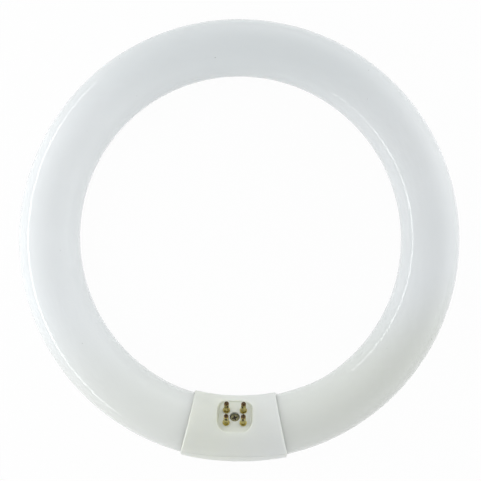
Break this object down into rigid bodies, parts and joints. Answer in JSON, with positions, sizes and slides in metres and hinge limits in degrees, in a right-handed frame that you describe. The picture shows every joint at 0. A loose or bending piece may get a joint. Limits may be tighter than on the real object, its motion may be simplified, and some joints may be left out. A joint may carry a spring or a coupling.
{
  "type": "circular fluorescent tube",
  "caption": "Ring-shaped fluorescent tube with a two-part plastic base that carries contact pins in a recessed pocket.",
  "frame": {"origin": "centre of the ring, in the middle plane of the glass tube", "axes": "+Z along the ring's axis towards the pin side, -Y from the centre to the middle of the base, +X to the right as seen from the pin side"},
  "size_m": [0.2096, 0.2105, 0.0343],
  "materials": {
    "milky_glass": "glossy, opal white",
    "base_plastic": "satin",
    "pin_brass": "polished, tarnished",
    "screw_steel": "nickel plated",
    "lead_nickel": "drawn wire"
  },
  "bodies": {
    "root": {"glass_tube": "milky_glass", "base_front_shell": "base_plastic", "base_rear_shell": "base_plastic", "base_screw": "screw_steel", "pin_1": "pin_brass", "pin_2": "pin_brass", "pin_3": "pin_brass", "pin_4": "pin_brass", "lead_wire_1": "lead_nickel", "lead_wire_2": "lead_nickel", "lead_wire_3": "lead_nickel", "lead_wire_4": "lead_nickel"}
  },
  "joints": []
}
